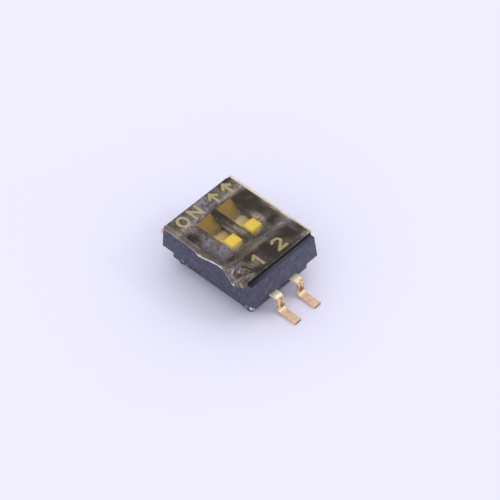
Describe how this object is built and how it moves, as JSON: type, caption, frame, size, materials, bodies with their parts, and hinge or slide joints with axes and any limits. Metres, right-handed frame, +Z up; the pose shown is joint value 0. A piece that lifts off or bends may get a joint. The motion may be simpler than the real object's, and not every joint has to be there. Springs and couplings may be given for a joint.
{
  "type": "dip switch",
  "caption": "Surface-mount slide dip switch: black moulded housing with gull-wing leads, recessed sliders in windows, and a thin sealing tape over the top.",
  "frame": {"origin": "on the board's surface, under the middle of the housing at its parting line", "axes": "+X from position 1 to position 2, +Y towards the ON side, +Z up from the board"},
  "size_m": [0.0043, 0.0082, 0.0026],
  "materials": {
    "black_plastic": "satin moulded",
    "amber_film": "clear gloss film",
    "gold_plate": "gold plated copper alloy",
    "cream_plastic": "satin moulded"
  },
  "bodies": {
    "housing": {"base": "black_plastic", "cover": "black_plastic", "sealing_tape": "amber_film", "terminal_1": "gold_plate", "terminal_2": "gold_plate", "terminal_3": "gold_plate", "terminal_4": "gold_plate"},
    "switch_1": {"slider_1": "cream_plastic", "moving_contact_1": "gold_plate"},
    "switch_2": {"slider_2": "cream_plastic", "moving_contact_2": "gold_plate"}
  },
  "joints": [
    {"name": "slider_1_slide", "type": "slide", "parent": "housing", "child": "switch_1", "axis": [0, 1, 0], "range_m": [0, 0.00075]},
    {"name": "slider_2_slide", "type": "slide", "parent": "housing", "child": "switch_2", "axis": [0, 1, 0], "range_m": [0, 0.00075]}
  ]
}
